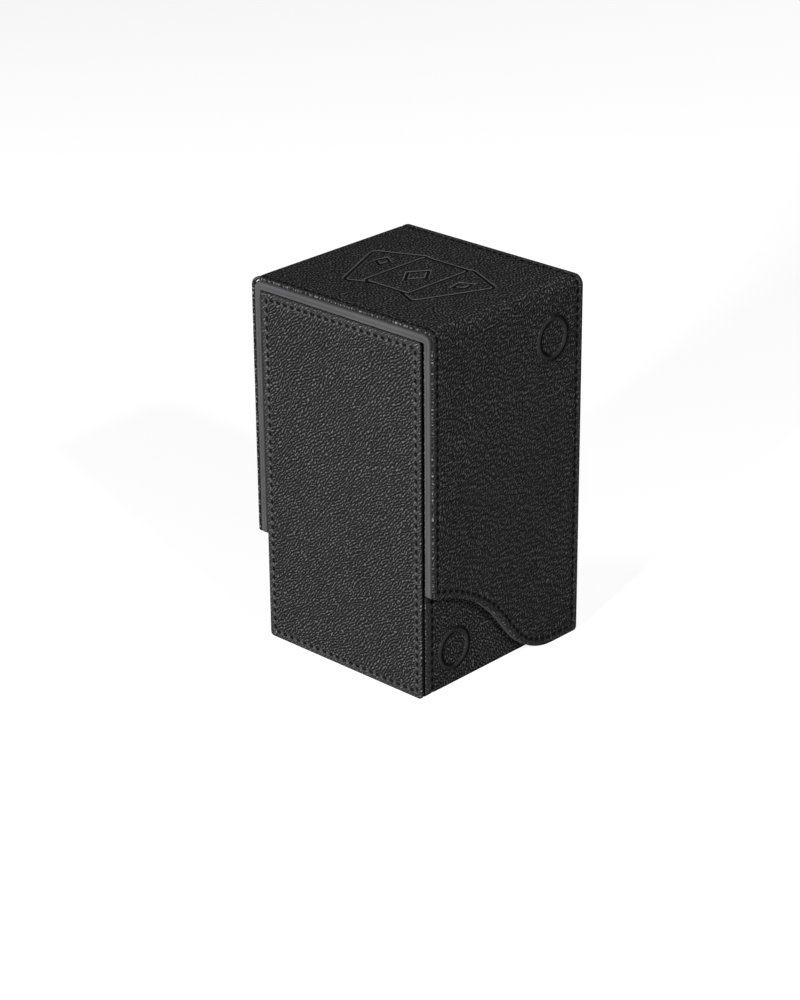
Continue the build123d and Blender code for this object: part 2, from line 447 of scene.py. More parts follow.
def seam_relief(flat, place, way, stitch):
    """From 0 to 1, how far each stitch draws the sheet down into its dimple; the leatherette also
    paints shade there.
    """
    spots = flat.reshape(-1, 2)
    relief = np.zeros(len(spots))
    batch = 20000
    for k in range(0, len(spots), batch):
        gap = spots[k:k + batch, None] - place[None]
        along = np.abs((gap * way[None]).sum(-1))
        across = gap[..., 0] * way[None, :, 1] - gap[..., 1] * way[None, :, 0]
        under = 1 - ease(stitch / 2 - 0.25, stitch / 2 + 0.35, along)
        relief[k:k + batch] = (under * hump(across, 0.52)).max(1)
    return relief.reshape(flat.shape[:2])


def sew(name, course, place, way, depth, sizes, finish):
    """One thread: a short round stitch at each place, its ends going down into the sheet."""
    material, body, slot = finish
    rows, sides = 9, 8
    radius, half = sizes.thickness / 2, sizes.stitch / 2
    run = np.linspace(-1, 1, rows)
    turn = np.linspace(0, 2 * math.pi, sides + 1)[:-1]
    bow = -0.62 * np.abs(run) ** 3.2
    thick = radius * (1 - 0.18 * np.abs(run) ** 3)
    local_u = np.repeat(run * half, sides).reshape(rows, sides)
    local_v = thick[:, None] * np.cos(turn)[None]
    local_h = bow[:, None] + thick[:, None] * np.sin(turn)[None] * 0.9
    ring = np.arange(rows * sides).reshape(rows, sides)
    tube = quads(ring[:-1], np.roll(ring[:-1], -1, 1), np.roll(ring[1:], -1, 1), ring[1:])
    points, faces, twist = [], [], []
    random = np.random.default_rng(bpy.context.scene.deck_box.stage.seed)
    for k, (spot, direction) in enumerate(zip(place, way)):
        lean = random.normal(0, 0.05)
        c, s = math.cos(lean), math.sin(lean)
        d = np.array([direction[0] * c - direction[1] * s, direction[0] * s + direction[1] * c])
        side = np.array([-d[1], d[0]])
        flat = spot + local_u[..., None] * d + local_v[..., None] * side
        level = depth + random.normal(0, 0.015)
        points.append(course.solid(flat[..., 0], flat[..., 1], local_h + level).reshape(-1, 3))
        faces.append(tube + rows * sides * k)
        around = np.broadcast_to(turn, local_u.shape)
        twist.append(np.stack([local_u + 10 * k, around, 0 * local_u], -1).reshape(-1, 3))
    piece = mesh_object(name, np.concatenate(points), np.concatenate(faces), material, body)
    keep_on_points(piece.data, "thread_place", np.concatenate(twist))
    return piece


# ---------------------------------------------------------------- shared effects and finishes


def colour(value, share=1.0):
    return (*(c * share for c in value), 1.0)


def new_group(name, inputs, outputs):
    """A shared effect: its group, wiring, given values and results.

    Place is a vector and everything else a number. Only the group comes back if it exists already.
    """
    group = bpy.data.node_groups.get(name)
    if group:
        return group, None, None, None
    group = bpy.data.node_groups.new(name, "ShaderNodeTree")
    for label, value in inputs.items():
        kind = "NodeSocketVector" if label == "Place" else "NodeSocketFloat"
        socket = group.interface.new_socket(label, in_out="INPUT", socket_type=kind)
        if value is not None:
            socket.default_value = value
    for label in outputs:
        group.interface.new_socket(label, in_out="OUTPUT", socket_type="NodeSocketFloat")
    start, end = group.nodes.new("NodeGroupInput"), group.nodes.new("NodeGroupOutput")
    return group, Wiring(group), start.outputs, end.inputs


class Wiring:
    """Short ways to add and join the nodes of one tree."""

    def __init__(self, tree):
        self.tree = tree

    def join(self, source, socket):
        if isinstance(source, (int, float, tuple)):
            socket.default_value = source
        else:
            self.tree.links.new(source, socket)

    def node(self, kind, **settings):
        node = self.tree.nodes.new(kind)
        for key, value in settings.items():
            setattr(node, key, value)
        return node

    def dress(self, node, values):
        for label, value in values.items():
            self.join(value, node.inputs[label])

    def math(self, operation, a, b=0.0, c=0.0, clamp=False):
        node = self.node("ShaderNodeMath", operation=operation, use_clamp=clamp)
        for k, value in enumerate((a, b, c)):
            self.join(value, node.inputs[k])
        return node.outputs[0]

    def times(self, a, b):
        return self.math("MULTIPLY", a, b)

    def times_plus(self, a, b, c, clamp=False):
        return self.math("MULTIPLY_ADD", a, b, c, clamp)

    def minus(self, a, b, clamp=False):
        return self.math("SUBTRACT", a, b, clamp=clamp)

    def larger(self, a, b):
        return self.math("MAXIMUM", a, b)

    def vector(self, operation, a, b=(0.0, 0.0, 0.0), scale=None):
        node = self.node("ShaderNodeVectorMath", operation=operation)
        self.join(a, node.inputs[0])
        if scale is None:
            self.join(b, node.inputs[1])
        else:
            self.join(scale, node.inputs["Scale"])
        return node.outputs[0]

    def unit(self, place, size):
        """A place counted in steps of the given size."""
        return self.vector("SCALE", place, scale=self.math("DIVIDE", 1.0, size))

    def remap(self, value, low, high, to_low=0.0, to_high=1.0):
        node = self.node("ShaderNodeMapRange", interpolation_type="SMOOTHSTEP")
        for socket, given in zip(node.inputs[:5], (value, low, high, to_low, to_high)):
            self.join(given, socket)
        return node.outputs[0]

    def blend(self, share, a, b):
        node = self.node("ShaderNodeMix", data_type="RGBA")
        for k, value in ((0, share), (6, a), (7, b)):
            self.join(value, node.inputs[k])
        return node.outputs[2]

    def texture(self, kind, place, values, **settings):
        node = self.node(kind, **settings)
        self.dress(node, {"Vector": place, **values})
        return node.outputs

    def noise(self, place, scale, detail=2.0, rough=0.5, result="Fac"):
        values = {"Scale": scale, "Detail": detail, "Roughness": rough}
        return self.texture("ShaderNodeTexNoise", place, values)[result]

    def cells(self, place, feature):
        return self.texture(
            "ShaderNodeTexVoronoi", place, {"Scale": 1.0}, feature=feature, voronoi_dimensions="2D"
        )

    def stored(self, name):
        return self.node("ShaderNodeAttribute", attribute_name=name).outputs["Vector"]

    def mask(self, name):
        return self.node("ShaderNodeAttribute", attribute_name=name).outputs["Fac"]

    def shared(self, group, **inputs):
        node = self.node("ShaderNodeGroup")
        node.node_tree = group
        self.dress(node, {key.replace("_", " "): value for key, value in inputs.items()})
        return node.outputs

    def relief(self, shader, height, strength, distance):
        """Bump on a finish, from a height between 0 and 1."""
        bump = self.node("ShaderNodeBump")
        self.dress(bump, {"Strength": strength, "Distance": distance, "Height": height})
        self.join(bump.outputs[0], shader.inputs["Normal"])


def pebble_group():
    """Leather grain: leaning pebbles with creases between them."""
    group, w, given, made = new_group(
        "Pebbled Grain",
        {"Place": None, "Cell": 0.00135, "Stretch": 0.5, "Lean": -0.8, "Wander": 0.8, "Order": 0.4,
         "Cut": 0.6},
        ("Height", "Crease", "Tone"),
    )
    if w is None:
        return group
    unit = w.unit(given["Place"], given["Cell"])

    def drift(scale, detail, reach):
        noise = w.noise(unit, scale, detail, result="Color")
        return w.vector("SCALE", w.vector("SUBTRACT", noise, (0.5, 0.5, 0.5)), scale=reach)

    far = drift(0.11, 2.0, w.times(given["Wander"], 4.0))
    near = drift(0.55, 1.0, given["Wander"])
    wandered = w.vector("ADD", w.vector("ADD", unit, far), near)
    turned = w.texture(
        "ShaderNodeVectorRotate", wandered, {"Angle": given["Lean"]}, rotation_type="Z_AXIS"
    )[0]
    stretch = w.node("ShaderNodeCombineXYZ")
    for k, value in enumerate((given["Stretch"], 1.0, 1.0)):
        w.join(value, stretch.inputs[k])
    place = w.vector("MULTIPLY", turned, stretch.outputs[0])

    def ridges(place, scale, frequency, order, facing, low, high):
        """Even worm-like ridges, from 0 in a valley to 1 on top."""
        values = {"Scale": scale, "Frequency": frequency, "Anisotropy": order,
                  "Orientation 2D": facing}
        phase = w.texture("ShaderNodeTexGabor", place, values, gabor_type="2D")["Phase"]
        wave = w.math("COSINE", w.times(phase, 2 * math.pi))
        return w.remap(w.times_plus(wave, 0.5, 0.5), low, high)

    ridge = ridges(place, 0.5, 2.0, given["Order"], math.pi / 2, 0.22, 0.8)
    elsewhere = w.vector("ADD", place, (31.7, 12.3, 0.0))
    breaks = ridges(elsewhere, 0.36, 1.5, 0.6, 0.3, 0.1, 0.45)
    ridge = w.times(ridge, w.times_plus(breaks, given["Cut"], w.minus(1.0, given["Cut"])))
    pebble = w.vector("SCALE", place, scale=0.62)
    crack = w.remap(w.cells(pebble, "DISTANCE_TO_EDGE")["Distance"], 0.0, 0.16, 0.25, 1.0)
    crease = w.times(ridge, crack)
    w.join(w.times_plus(w.noise(unit, 4.0, 2.0, 0.6), 0.08, crease), made["Height"])
    w.join(crease, made["Crease"])
    tone = w.node("ShaderNodeSeparateColor")
    w.join(w.cells(pebble, "F1")["Color"], tone.inputs[0])
    w.join(tone.outputs[0], made["Tone"])
    return group


def nap_group():
    """Short brushed pile: fine fibres and slow patches where the pile lies another way."""
    group, w, given, made = new_group(
        "Brushed Pile", {"Place": None, "Fibre": 0.00025}, ("Height", "Patch", "Fleck")
    )
    if w is None:
        return group
    unit = w.unit(given["Place"], given["Fibre"])
    fibre = w.noise(w.vector("MULTIPLY", unit, (1.0, 0.35, 1.0)), 0.8, 3.0, 0.6)
    fleck = w.noise(unit, 1.7, 1.0)
    w.join(w.times_plus(fleck, 0.4, fibre), made["Height"])
    w.join(w.remap(w.noise(unit, 0.018, 3.0, 0.55), 0.35, 0.65), made["Patch"])
    w.join(w.remap(fleck, 0.3, 0.7), made["Fleck"])
    return group


def wear_group():
    """Handling: faint dust and rubbed patches that change slowly over a surface."""
    group, w, given, made = new_group(
        "Handling Wear", {"Place": None, "Patch Size": 0.03}, ("Rubbed", "Dust")
    )
    if w is None:
        return group
    unit = w.unit(given["Place"], given["Patch Size"])
    w.join(w.remap(w.noise(unit, 1.0, 3.0, 0.55), 0.38, 0.68), made["Rubbed"])
    w.join(w.remap(w.noise(unit, 40.0, 1.0), 0.68, 0.78), made["Dust"])
    return group


def pressed_group():
    """Lines pressed into the covering at given distances, from 0 on the sheet to 1 in a line; the
    leatherette also darkens Pressed as painted shade.
    """
    group, w, given, made = new_group(
        "Pressed Lines",
        {"Ring Gap": None, "Ring Turn": 0.0, "Line Gap": None, "Ring Inner": 0.0060,
         "Ring Outer": 0.0076, "Line Width": 0.0010},
        ("Pressed", "Shoulder", "Raised"),
    )
    if w is None:
        return group

    def line(gap, low, high):
        return w.remap(w.math("ABSOLUTE", gap), low, high, 1.0, 0.0)

    outside = w.minus(given["Ring Gap"], given["Ring Outer"])
    inside = w.minus(given["Ring Gap"], given["Ring Inner"])
    raised = w.minus(w.remap(inside, -0.0003, 0.00012), w.remap(outside, -0.00012, 0.0003))
    # Painted shade: the outer edge's dark line is kept only on the ring's rear half and the inner
    # edge's only on its front half, as if lit from the front.
    turn = given["Ring Turn"]
    outer = line(w.minus(outside, 0.0001), 0.00040, 0.00058)
    outer = w.times(outer, w.remap(turn, -0.35, 0.25, 1.0, 0.0))
    inner = line(w.math("ADD", inside, 0.0001), 0.00040, 0.00058)
    inner = w.times(inner, w.remap(turn, -0.25, 0.2))
    half = w.times(given["Line Width"], 0.5)
    drawn = line(given["Line Gap"], w.times(half, 0.75), w.times(half, 1.35))
    wide = line(given["Line Gap"], w.times(half, 1.6), w.times(half, 2.5))
    w.join(w.larger(w.larger(outer, inner), drawn), made["Pressed"])
    w.join(w.minus(wide, drawn, clamp=True), made["Shoulder"])
    w.join(raised, made["Raised"])
    return group


def new_material(name):
    material = bpy.data.materials.get(name)
    if material:
        return material, None, None
    material = bpy.data.materials.new(name)
    material.use_nodes = True
    shader = material.node_tree.nodes["Principled BSDF"]
    return material, Wiring(material.node_tree), shader


# How the grain of each sheet runs, its size, and how light it stays where it is flattened.
GRAINS = {
    "panel": ({"Stretch": 0.95, "Lean": -0.8, "Wander": 0.5, "Order": 0.78, "Cut": 0.65},
              0.96, 0.8),
    "wrapped": ({"Stretch": 0.95, "Lean": 0.7, "Wander": 0.5, "Order": 0.3, "Cut": 0.75},
                1.04, 0.26),
}


def leatherette(settings, name):
    material, w, shader = new_material(f"black_leatherette_{name}")
    if w is None:
        return material
    finish, emboss = settings.finish, settings.emboss
    run, size, light = GRAINS[name]
    place = w.stored("sheet_place")
    flat, dimple = w.mask("flattened"), w.mask("dimple")
    grain = w.shared(pebble_group(), Place=place, Cell=finish.cell * size, **run)
    wear = w.shared(wear_group(), Place=place)
    lines = w.shared(pressed_group(), Ring_Gap=w.mask("ring_gap"), Ring_Turn=w.mask("ring_turn"),
                     Line_Gap=w.mask("line_gap"), Ring_Inner=emboss.ring_inner,
                     Ring_Outer=emboss.ring_outer, Line_Width=emboss.line)
    calm = w.larger(w.times(flat, 0.75), w.times(lines["Raised"], 0.95))
    calm = w.larger(calm, lines["Shoulder"])
    level = w.minus(1.0, w.larger(calm, dimple), clamp=True)
    height = w.times_plus(w.minus(grain["Height"], 0.7), level, 0.7)
    for line, lift in (("Pressed", -0.9), ("Shoulder", 0.35), ("Raised", 0.3)):
        height = w.times_plus(lines[line], lift, height)
    w.relief(shader, height, 1.0, 0.00068)
    mean = w.times_plus(lines["Raised"], 0.14 - light, light)
    # Painted shade: where crease falls to 0 the colour is the near-black crease tint, and at 1 it
    # is the tops' colour.
    crease = w.times_plus(w.minus(grain["Crease"], mean), level, mean)
    crease = w.larger(crease, lines["Shoulder"])
    # Painted shade in the pressed ring edges and emblem lines: Pressed takes the colour to the
    # near-black crease tint.
    crease = w.times(crease, w.minus(1.0, lines["Pressed"]))
    # Painted shade in the stitch holes: the covering goes to the near-black crease tint round each
    # stitch.
    crease = w.times(crease, w.times_plus(dimple, -2.0, 1.0, clamp=True))
    crease = w.times(crease, w.times_plus(w.mask("shade"), -0.92, 1.0))
    tops = w.blend(w.times(grain["Tone"], 0.5), colour(finish.leather),
                   colour(finish.leather, 0.62))
    tops = w.blend(w.times(wear["Rubbed"], 0.3), tops, colour(finish.leather, 1.3))
    # Painted highlight along the rolled edges, varied a little by the rubbed patches.
    lightened = w.times(w.mask("painted_edge_highlight"), w.remap(wear["Rubbed"], 0, 1, 0.75, 1.0))
    tops = w.blend(lightened, tops, colour(finish.leather, 1.8))
    rough = w.times_plus(wear["Rubbed"], -0.05, w.remap(crease, 0.0, 1.0, 0.85, 0.52))
    w.dress(shader, {
        "Base Color": w.blend(crease, colour(finish.crease), tops), "Roughness": rough,
        "Coat Weight": w.times(crease, 0.28), "Coat Roughness": 0.42, "Specular IOR Level": 0.06,
    })
    return material


def microfibre(name, body_colour, light_share, pile):
    material, w, shader = new_material(name)
    if w is None:
        return material
    place = w.stored("sheet_place")
    nap = w.shared(nap_group(), Place=place, Fibre=pile)
    wear = w.shared(wear_group(), Place=place)
    w.relief(shader, nap["Height"], 0.35, 0.00008)
    light, dark = colour(body_colour, 1 + light_share), colour(body_colour, 1 - light_share)
    tone = w.times_plus(nap["Fleck"], 0.5, w.times(nap["Patch"], 0.5))
    lightened = w.blend(w.times(wear["Dust"], 0.12), w.blend(tone, dark, light), light)
    w.dress(shader, {
        "Base Color": w.blend(w.mask("shade"), lightened, colour(body_colour, 0.3)),
        "Roughness": w.remap(nap["Patch"], 0.0, 1.0, 0.92, 0.80),
        "Specular IOR Level": 0.06, "Sheen Weight": 0.04, "Sheen Roughness": 0.45,
    })
    return material


def sewing_thread(settings):
    material, w, shader = new_material("black_sewing_thread")
    if w is None:
        return material
    parts = w.node("ShaderNodeSeparateXYZ")
    w.join(w.stored("thread_place"), parts.inputs[0])
    ply = w.math("SINE", w.times_plus(parts.outputs[0], 9.0, w.times(parts.outputs[1], 2.0)))
    ply = w.times_plus(ply, 0.5, 0.5)
    w.relief(shader, ply, 0.7, 0.00006)
    thread = settings.finish.thread
    twist = w.blend(ply, colour(thread, 0.6), colour(thread, 1.5))
    w.dress(shader, {"Base Color": twist, "Roughness": w.remap(ply, 0.0, 1.0, 0.7, 0.5),
                     "Specular IOR Level": 0.04})
    return material


def greyboard(settings):
    material, w, shader = new_material("greyboard")
    if w is None:
        return material
    place = w.node("ShaderNodeTexCoord").outputs["Object"]
    nap = w.shared(nap_group(), Place=place, Fibre=0.0006)
    wear = w.shared(wear_group(), Place=place)
    w.relief(shader, nap["Height"], 0.4, 0.0001)
    board = settings.finish.board
    pulp = w.blend(nap["Fleck"], colour(board, 0.78), colour(board, 1.12))
    dusty = w.blend(w.times(wear["Dust"], 0.3), pulp, (0.16, 0.15, 0.14, 1.0))
    rough = w.remap(nap["Patch"], 0.0, 1.0, 0.9, 0.8)
    w.dress(shader, {"Base Color": dusty, "Roughness": rough})
    return material


def nickel(settings):
    material, w, shader = new_material("magnet_nickel")
    if w is None:
        return material
    place = w.node("ShaderNodeTexCoord").outputs["Object"]
    wear = w.shared(wear_group(), Place=place, Patch_Size=0.004)
    plate = settings.finish.nickel
    rubbed = w.blend(wear["Rubbed"], colour(plate, 0.85), colour(plate))
    rough = w.remap(wear["Rubbed"], 0.0, 1.0, 0.34, 0.20)
    w.dress(shader, {"Base Color": rubbed, "Roughness": rough, "Metallic": 1.0})
    return material


# ---------------------------------------------------------------- shapes of this box


def flap_curve(lid):
    """Height and slope of a flap's lower edge at a distance across the lid, front to back."""
    steep, gentle = lid.group.curve_slope, lid.group.shoulder_slope
    front, back = -lid.half_depth, lid.half_depth
    drop_a = lid.shoulder_radius * (math.cos(gentle) - math.cos(steep))
    run_a = lid.shoulder_radius * (math.sin(steep) - math.sin(gentle))
    drop_c = lid.foot_radius * (1 - math.cos(steep))
    run_c = lid.foot_radius * math.sin(steep)
    drop_b = lid.front_height - lid.floor_gap - drop_a - drop_c
    run_b = drop_b / math.tan(steep)
    angle_a = np.linspace(gentle, steep, 60)
    y_a = front + lid.shoulder_radius * (np.sin(angle_a) - math.sin(gentle))
    z_a = lid.front_height - lid.shoulder_radius * (math.cos(gentle) - np.cos(angle_a))
    angle_c = np.linspace(steep, 0, 60)
    y_c = front + run_a + run_b + run_c - lid.foot_radius * np.sin(angle_c)
    z_c = lid.floor_gap + lid.foot_radius * (1 - np.cos(angle_c))
    y = np.concatenate([y_a, y_c, [back]])
    z = np.concatenate([z_a, z_c, [lid.floor_gap]])
    tilt = np.concatenate([angle_a, angle_c, [0]])
    return lambda w: (np.interp(w, y, z), np.interp(w, y, tilt))


def flap_grid(lid, length, roll, seam, spacing, columns, reach, fine_span=None, turns=()):
    """Flat grid of a lid sheet: p runs from flap to flap, w from front to back.

    Also returns each point's distance from the long edges and from the curved ends. Columns follow
    the curve up to far, straight ones stand reach apart, and each turn of a fold gets its own.
    """
    steps = edge_steps(seam, roll)
    w0 = graded(-lid.half_depth + roll, lid.half_depth - roll, steps, spacing)
    curve = flap_curve(lid)
    far = 78.0  # mm, above the highest point of the curve
    t = np.linspace(0, 1, columns + 1)[1:]
    half = length / 2
    inner = far + np.arange(1, int((half - far) / reach)) * reach
    inner = inner[inner < half - reach * 0.5]
    if fine_span:
        fine = np.arange(half - fine_span, half - 0.2, 0.45)
        inner = np.concatenate([inner[inner < half - fine_span], fine])
    for turn, radius in turns:
        near = np.linspace(turn, turn + radius * math.pi / 2, 9)
        inner = np.concatenate([inner[(inner < near[0] - 0.25) | (inner > near[-1] + 0.25)], near])
        inner.sort()
    big_w, big_q = np.meshgrid(w0, steps, indexing="ij")
    edge_gap = lid.half_depth - roll - np.abs(big_w)
    gap, into = round_corner(edge_gap, big_q, 1.3 - roll if roll < 1.2 else 0.3)
    spot_w = np.sign(big_w) * (lid.half_depth - roll - gap)
    base_z, tilt = curve(spot_w)
    share = ease(0.5, 6, lid.half_depth - np.abs(spot_w))
    n_w, n_z = np.sin(tilt) * share, np.cos(tilt)
    n_z = np.where(share > 0.99, n_z, np.sqrt(np.maximum(1 - n_w**2, 0)))
    into_true = into + roll
    z = base_z + into_true * n_z
    y = spot_w + into_true * n_w
    last_z, last_y = z[:, -1], y[:, -1]
    tail_z = last_z[:, None] + (far - last_z[:, None]) * t[None]
    tail_y = w0[:, None] + (last_y - w0)[:, None] * (1 - ease(0, 1, t))[None]
    z = np.concatenate([z, tail_z, np.repeat(inner[None], len(w0), 0)], 1)
    y = np.concatenate([y, tail_y, np.repeat(w0[:, None], len(inner), 1)], 1)
    z = np.concatenate([z, np.full((len(w0), 1), half), length - z[:, ::-1]], 1)
    y = np.concatenate([y, w0[:, None], y[:, ::-1]], 1)
    straight = np.full((len(w0), 2 * (len(t) + len(inner)) + 1), FAR)
    end_gap = np.concatenate([into_true, straight, into_true[:, ::-1]], 1)
    flat = np.stack([z, y], -1).transpose(1, 0, 2)
    return flat, (lid.half_depth - np.abs(y)).T, end_gap.T


def lid_seam(lid, seams, length):
    """Places and directions of the stitches in the closed seam round the lid."""
    seam = seams.lid_inset
    curve = flap_curve(lid)
    w = np.linspace(-lid.half_depth + seam + 0.8, lid.half_depth - seam - 0.8, 300)
    z, tilt = curve(w)
    share = ease(0.5, 6, lid.half_depth - np.abs(w))
    end = np.stack([z + seam * np.cos(tilt * share), w + seam * np.sin(tilt) * share], 1)

    def straight(start, w):
        p = np.linspace(start + 0.8, length - start - 0.8, SEAM_POINTS)
        return np.stack([p, np.full(SEAM_POINTS, w)], 1)

    front = straight(end[0, 0], -lid.half_depth + seam)
    back = straight(end[-1, 0], lid.half_depth - seam)
    other = end * [-1, 1] + [length, 0]
    line = np.concatenate([end[::-1], front, other, back[::-1]])
    return spaced_along(line, seams.pitch, True)


def panel_seam(base, seams):
    """Places and directions of the stitches in the closed seam round a panel."""
    seam = seams.panel_inset
    a, b = base.half_width - seam, base.rim - seam
    corners = np.array([(seam, -a), (b, -a), (b, a), (seam, a)], float)
    line = np.concatenate([
        np.linspace(corners[k], corners[(k + 1) % 4], SEAM_POINTS, endpoint=False)
        for k in range(4)
    ])
    return spaced_along(line, seams.pitch, True)


def wrap_seam(base, seams, side):
    """Places and directions of the stitches along the front (-1) or rear (1) edge of the wrap."""
    course, rim_length = wrap_course(base)
    ends = rim_length + seams.panel_inset
    line = np.linspace(ends, course.length - ends, WRAP_SEAM_POINTS)
    w = np.full(WRAP_SEAM_POINTS, side * (base.wrap_edge - seams.wrap_inset))
    return spaced_along(np.stack([line, w], 1), seams.pitch, False)


def padding(distance, seam):
    """A soft bulge between edge and seam, and the sheet easing up again inside the seam."""
    border = 0.10 * np.sin(np.pi * np.clip(distance / (seam - 0.15), 0, 1)) ** 0.8
    groove = -0.11 * hump(distance - seam, 0.55)
    inside = 0.05 * ease(seam, seam + 3.5, distance)
    return np.where(distance < seam, border, inside) + groove


def ring_edges(emboss):
    """Where the ring starts and stops rising, and starts and stops falling."""
    return (emboss.ring_inner - 0.15, emboss.ring_inner + 0.35,
            emboss.ring_outer - 0.3, emboss.ring_outer + 0.2)


def ring_relief(flat, centres, emboss):
    """Relief of the rings, the distance to the nearest centre and how far forward of it, which
    places the painted shade on the ring edges.
    """
    edges = ring_edges(emboss)
    relief = np.zeros(flat.shape[:2])
    nearest = np.full(flat.shape[:2], 40.0)
    turn = np.zeros(flat.shape[:2])
    for centre in centres:
        r = np.hypot(flat[..., 0] - centre[0], flat[..., 1] - centre[1])
        turn = np.where(r < nearest, (centre[1] - flat[..., 1]) / np.maximum(r, 0.1), turn)
        nearest = np.minimum(nearest, r)
        relief += emboss.ring_height * (ease(*edges[:2], r) - ease(*edges[2:], r))
        relief -= 0.12 * hump(r - emboss.ring_inner + 0.25, 0.3)
        relief -= 0.10 * hump(r - emboss.ring_outer - 0.25, 0.3)
    return relief, nearest, turn


def snap_rings(flat, centres, emboss):
    """Grid points close to a ring's edges are drawn onto them, so that the ring is truly round."""
    for centre in centres:
        gap = flat - np.array(centre)
        r = np.hypot(gap[..., 0], gap[..., 1])
        target = r.copy()
        for edge in ring_edges(emboss):
            pull = np.clip(1 - np.abs(r - edge) / 0.3, 0, 1) ** 0.5
            target = np.where(np.abs(r - edge) < 0.3, r + (edge - r) * pull, target)
        flat += gap * (target / np.maximum(r, 1e-6) - 1)[..., None]
    return flat


def card_gap(x, y, width, height, corner=2.0):
    """Signed distance to the outline of a round-cornered card."""
    dx = np.abs(x) - width / 2 + corner
    dy = np.abs(y) - height / 2 + corner
    outside = np.hypot(np.maximum(dx, 0), np.maximum(dy, 0))
    return outside + np.minimum(np.maximum(dx, dy), 0) - corner


def emblem_relief(flat, middle, emboss):
    """A fan of three blank cards, each with one plain diamond pip, pressed into the sheet."""
    x, y = flat[..., 0] - middle, flat[..., 1]
    width, height = emboss.card_width - emboss.line, emboss.card_height - emboss.line
    front_gap = card_gap(x, y, width, height)
    nearest = np.full(x.shape, 20.0)

    def press(gap, seen):
        nonlocal nearest
        nearest = np.minimum(nearest, np.abs(gap) + 8 * (1 - seen))

    angle = emboss.group.fan_angle
    outside_front = ease(0.0, 0.3, front_gap)
    for side in (-1, 1):
        a = side * angle
        u, v = x - side * emboss.fan_shift, y + 1.5
        s = u * math.cos(a) - v * math.sin(a)
        t = u * math.sin(a) + v * math.cos(a)
        press(card_gap(s, t, width, height), outside_front)
        pip = (np.abs(s - side * 3.5) / 2.6 + np.abs(t - 6) / 3.6 - 1) * 2.1
        press(pip, outside_front)
    press(front_gap, 1.0)
    press((np.abs(x) / 4.2 + np.abs(y) / 5.8 - 1) * 3.4, 1.0)
    return -emboss.depth * hump(nearest, emboss.line * 0.6), nearest


def lid_course(lid):
    run = lid.top - lid.fold
    across = 2 * (lid.half_width - lid.fold)
    legs = [(run, 0), (lid.fold, -90), (across, 0), (lid.fold, -90), (run, 0)]
    return Course((-lid.half_width, 0), 90, legs, face=1)


def wrap_course(base):
    """The wrapped sheet's course, and the length of the part of it that lies over a rim."""
    top_run = base.half_width - base.rim_x - RIM_TURN
    side_run = base.rim - RIM_TURN - base.fold
    under = 2 * (base.half_width - base.fold)
    half = [(top_run, 0), (RIM_TURN, 90), (side_run, 0), (base.fold, 90)]
    course = Course((-base.rim_x, base.rim), 180, [*half, (under, 0), *half[::-1]], face=-1)
    return course, top_run + RIM_TURN * math.pi / 2


def panel_course(base, mirror):
    legs = [(base.rim - RIM_TURN, 0), (RIM_TURN, -90),
            (base.panel_face - base.rim_y - RIM_TURN, 0)]
    return Course((-base.panel_face, 0), 90, legs, face=1, across="x", mirror=mirror)


# ---------------------------------------------------------------- operators


def settings_of(context):
    return context.scene.deck_box


class DECKBOX_OT_lid_covering(bpy.types.Operator):
    """Make the lid's leatherette covering, with its rings, emblem and rolled edge"""

    bl_idname = "deckbox.lid_covering"
    bl_label = "Lid Covering"

    def execute(self, context):
        s = settings_of(context)
        lid, emboss, seams = Sizes(s.lid), Sizes(s.emboss), Sizes(s.seams)
        course = lid_course(lid)
        roll = 0.6
        flat, side_gap, end_gap = flap_grid(
            lid, course.length, roll, seams.lid_inset, MEDIUM, 101, 0.55, fine_span=30,
            turns=[(lid.top - lid.fold, lid.fold)],
        )
        rings = [(p, emboss.ring_y) for p in (emboss.ring_high, course.length - emboss.ring_high)]
        flat = snap_rings(flat, rings, emboss)
        distance = edge_distance(side_gap, end_gap, seams.lid_inset + 1.0)
        place, way = lid_seam(lid, seams, course.length)
        height = padding(distance, seams.lid_inset)
        dimple = seam_relief(flat, place, way, seams.stitch)
        ring, ring_gap, ring_turn = ring_relief(flat, rings, emboss)
        emblem, line_gap = emblem_relief(flat, course.length / 2, emboss)
        height += ring + emblem - seams.dimple * dimple
        border = 1 - ease(seams.lid_inset - 0.5, seams.lid_inset + 0.3, distance)
        border = np.maximum(border * 0.5, 0.7 * hump(distance - seams.lid_inset, 0.7))
        masks = {"flattened": border, "dimple": dimple,
                 "ring_gap": ring_gap * MM, "ring_turn": ring_turn, "line_gap": line_gap * MM}
        profile = [(0.2, 0.0), (0.38, -0.05), (0.52, -0.17), (0.6, -0.34), (0.58, -0.52),
                   (0.45, -0.7), (0.22, -0.88), (-0.1, -1.02)]
        finish = (leatherette(s, "wrapped"), "lid", "leatherette")
        piece = lay_sheet("lid_covering", course, flat, height, masks, profile, finish)
        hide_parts("lid_skin")
        return {"FINISHED"}


